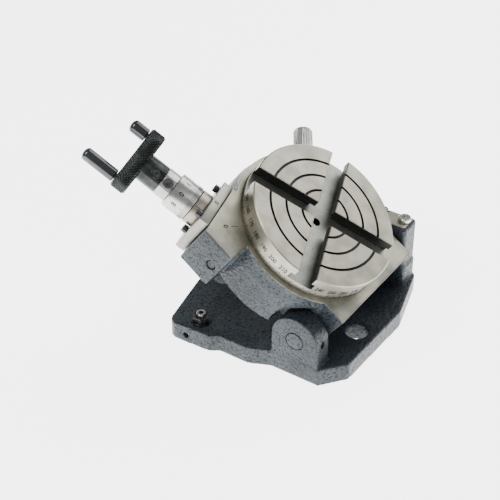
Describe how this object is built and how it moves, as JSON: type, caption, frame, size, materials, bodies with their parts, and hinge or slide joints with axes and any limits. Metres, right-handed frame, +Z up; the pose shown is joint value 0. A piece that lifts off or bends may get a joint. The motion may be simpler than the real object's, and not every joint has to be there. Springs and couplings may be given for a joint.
{
  "type": "rotary table",
  "caption": "Tilting rotary table for a milling machine: a round T-slot table on a hand-cranked worm gear, in a housing hinged on a cast base.",
  "frame": {"origin": "on the face the base stands on, straight below the tilt axis, in the table's middle plane", "axes": "+Z up; the tilt axis runs along Y; the base and the crank reach towards -X"},
  "size_m": [0.1687, 0.1487, 0.1415],
  "materials": {
    "cast_paint": "hammered blue-grey enamel on cast iron",
    "table_steel": "fine-turned steel, warm grey",
    "bright_steel": "satin bright steel",
    "black_oxide": "black oxide on steel",
    "dark_steel": "dark knurled and polished steel",
    "bronze": "cast bronze, as cut"
  },
  "bodies": {
    "base": {"base": "cast_paint", "near_hinge_pin": "cast_paint", "far_hinge_pin": "bright_steel", "pin_set_screw": "black_oxide", "stop_nut": "black_oxide", "stop_washer": "black_oxide", "stop_clamp_screw": "black_oxide", "hinge_oiler": "bright_steel"},
    "stop_screw": {"stop_screw": "bright_steel"},
    "tilt_clamp": {"tilt_clamp_screw": "bright_steel"},
    "housing": {"housing": "cast_paint", "bottom_cover": "table_steel", "cover_screw_1": "black_oxide", "cover_screw_2": "black_oxide", "cover_screw_3": "black_oxide", "oil_plug": "bright_steel", "worm_flange": "table_steel", "flange_screw_1": "black_oxide", "flange_screw_2": "black_oxide", "flange_screw_3": "black_oxide", "flange_screw_4": "black_oxide", "index_collar": "table_steel", "worm_end_bush": "bronze", "thrust_washer": "bright_steel", "lock_pad": "bronze"},
    "table": {"table": "table_steel", "spindle": "table_steel", "worm_wheel": "bronze", "wheel_key": "bright_steel", "spindle_nut": "black_oxide", "spindle_washer": "bright_steel", "table_screw_1": "black_oxide", "table_screw_2": "black_oxide", "table_screw_3": "black_oxide", "table_screw_4": "black_oxide"},
    "worm": {"worm_shaft": "bright_steel", "crank_arm": "dark_steel", "crank_set_screw": "black_oxide", "long_handle": "dark_steel", "short_handle": "dark_steel"},
    "dial": {"dial": "bright_steel", "dial_clamp_ring": "bright_steel", "dial_clamp_screw": "black_oxide"},
    "lock_knob": {"lock_knob": "bright_steel"}
  },
  "joints": [
    {"name": "tilt", "type": "hinge", "parent": "base", "child": "housing", "pos_m": [0, 0, 0.0275], "axis": [0, 1, 0], "range_deg": [-35.8, 54.2]},
    {"name": "table_spin", "type": "hinge", "parent": "housing", "child": "table", "pos_m": [-0.01137, 0, 0.08798], "axis": [0.585, 0, 0.8111], "continuous": true},
    {"name": "crank_spin", "type": "hinge", "parent": "housing", "child": "worm", "pos_m": [-0.02358, -0.03295, 0.05856], "axis": [-0.7918, -0.2164, 0.5711], "continuous": true},
    {"name": "dial_set", "type": "hinge", "parent": "worm", "child": "dial", "pos_m": [-0.02358, -0.03295, 0.05856], "axis": [-0.7918, -0.2164, 0.5711], "continuous": true},
    {"name": "lock_turn", "type": "hinge", "parent": "housing", "child": "lock_knob", "pos_m": [-0.02512, 0, 0.06892], "axis": [-0.5159, 0.7716, 0.3721], "range_deg": [0, 720]},
    {"name": "tilt_clamp_turn", "type": "hinge", "parent": "base", "child": "tilt_clamp", "pos_m": [0.0122, 0.0624, 0.0563], "axis": [0, 0, 1], "range_deg": [0, 360]},
    {"name": "stop_turn", "type": "hinge", "parent": "base", "child": "stop_screw", "pos_m": [-0.0692, -0.052, 0.0198], "axis": [0, 0, 1], "range_deg": [-360, 360]}
  ],
  "couplings": [
    {"joint": "crank_spin", "follows": "table_spin", "ratio": 40}
  ]
}
